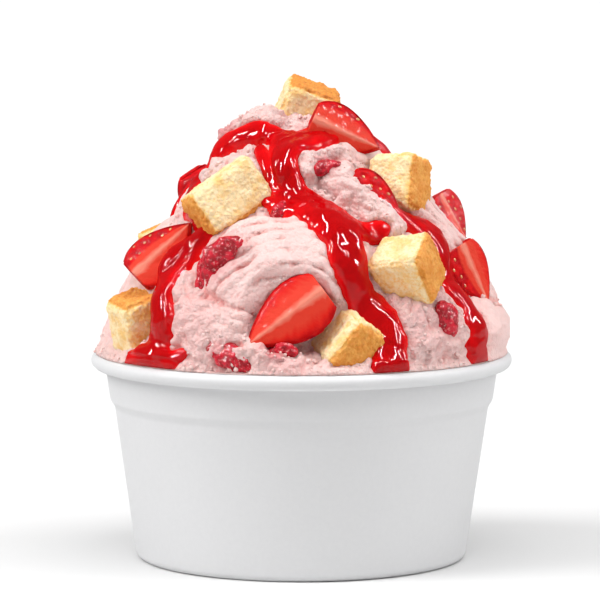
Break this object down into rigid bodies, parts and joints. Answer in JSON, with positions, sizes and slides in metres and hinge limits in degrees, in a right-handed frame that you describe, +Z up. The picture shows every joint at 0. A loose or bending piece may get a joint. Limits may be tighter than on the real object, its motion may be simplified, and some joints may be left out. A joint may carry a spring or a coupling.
{
  "type": "strawberry shortcake ice cream cup",
  "caption": "Heaped pink ice cream with cake cubes, strawberry pieces and red sauce in a squat white paper cup with a rolled rim.",
  "frame": {"origin": "centre of the standing ring under the cup, on the surface it stands on", "axes": "+Z up along the cup's axis, -Y towards the front with the large scoop fold and the half strawberry"},
  "size_m": [0.096, 0.096, 0.1105],
  "materials": {
    "cup_paper": "smooth satin",
    "ice_cream": "crumbly frozen, with glossy red sauce over it",
    "cake": "open crumb with browned crust",
    "strawberry": "wet, glossy"
  },
  "bodies": {
    "root": {"cup": "cup_paper", "ice_cream": "ice_cream", "cake_cube_top": "cake", "cake_cube_upper_left": "cake", "cake_cube_upper_right": "cake", "cake_cube_right": "cake", "cake_cube_lower_left": "cake", "cake_cube_lower_centre": "cake", "cake_cube_back_upper": "cake", "cake_cube_back_left": "cake", "cake_cube_back_right": "cake", "cake_cube_back_low": "cake", "strawberry_top_right": "strawberry", "strawberry_left": "strawberry", "strawberry_right_low": "strawberry", "strawberry_right_high": "strawberry", "strawberry_centre": "strawberry", "strawberry_under_cube": "strawberry", "strawberry_back_high": "strawberry", "strawberry_back_middle": "strawberry", "strawberry_back_side": "strawberry", "strawberry_back_foot": "strawberry", "fruit_chunk_left": "strawberry", "fruit_chunk_right": "strawberry", "fruit_chunk_low_left": "strawberry", "fruit_chunk_middle": "strawberry", "fruit_chunk_back_left": "strawberry", "fruit_chunk_back_right": "strawberry"}
  },
  "joints": []
}
